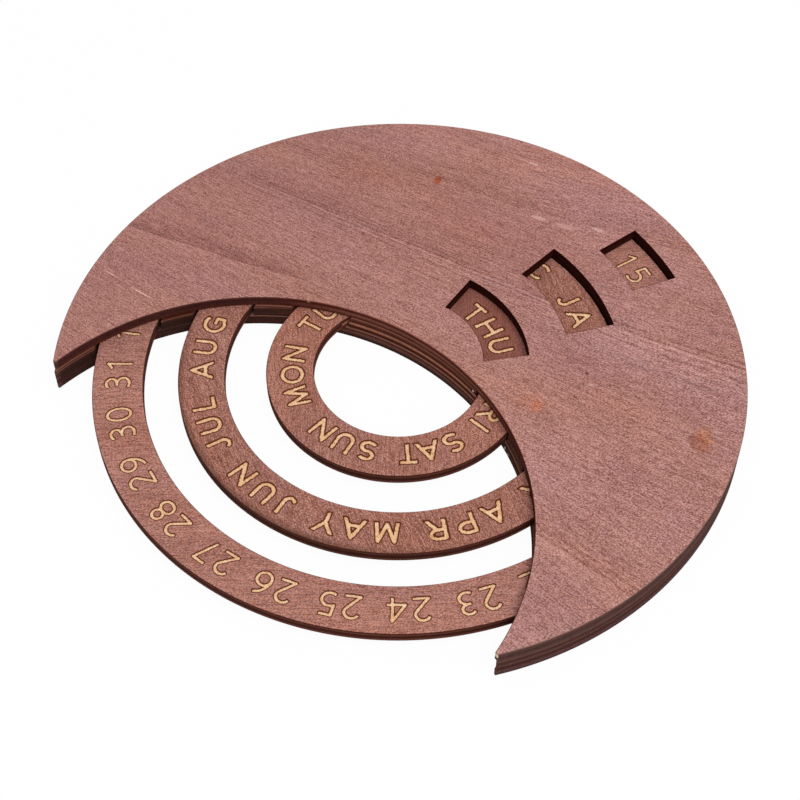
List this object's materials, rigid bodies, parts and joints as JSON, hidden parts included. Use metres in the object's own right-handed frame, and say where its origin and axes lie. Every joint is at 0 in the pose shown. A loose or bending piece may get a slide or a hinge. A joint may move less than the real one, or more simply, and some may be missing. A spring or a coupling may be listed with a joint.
{
  "type": "wooden disc calendar",
  "caption": "Flat crescent calendar of layered plywood with turning date, month and weekday rings that read through a row of windows.",
  "frame": {"origin": "bottom centre of the whole outline: on the back face, midway between the outline's ends along X and along Y. The rings' common axis is 4.730 mm from it along -Y", "axes": "+Z out of the front face, +Y towards the row of windows, which is up when the calendar hangs and reads upright, +X to the reader's right"},
  "size_m": [0.168, 0.1586, 0.009],
  "materials": {
    "front_plate": "matte stain on sanded plywood, laser-darkened edges",
    "back_plate": "matte stain on sanded plywood, laser-darkened edges",
    "spacers": "matte stain on plywood, laser-darkened edges",
    "date_ring": "matte stain with pale engraved numbers",
    "month_ring": "matte stain with pale engraved names",
    "week_ring": "matte stain with pale engraved names"
  },
  "bodies": {
    "crescent": {"front_plate": "front_plate", "back_plate": "back_plate", "rim_spacer": "spacers", "outer_spacer": "spacers", "inner_spacer": "spacers", "core_spacer": "spacers"},
    "date_ring": {"date_ring": "date_ring"},
    "month_ring": {"month_ring": "month_ring"},
    "week_ring": {"week_ring": "week_ring"}
  },
  "joints": [
    {"name": "date_turn", "type": "hinge", "parent": "crescent", "child": "date_ring", "pos_m": [0, -0.00473, 0.0045], "axis": [0, 0, 1], "continuous": true},
    {"name": "month_turn", "type": "hinge", "parent": "crescent", "child": "month_ring", "pos_m": [0, -0.00473, 0.0045], "axis": [0, 0, 1], "continuous": true},
    {"name": "week_turn", "type": "hinge", "parent": "crescent", "child": "week_ring", "pos_m": [0, -0.00473, 0.0045], "axis": [0, 0, 1], "continuous": true}
  ]
}
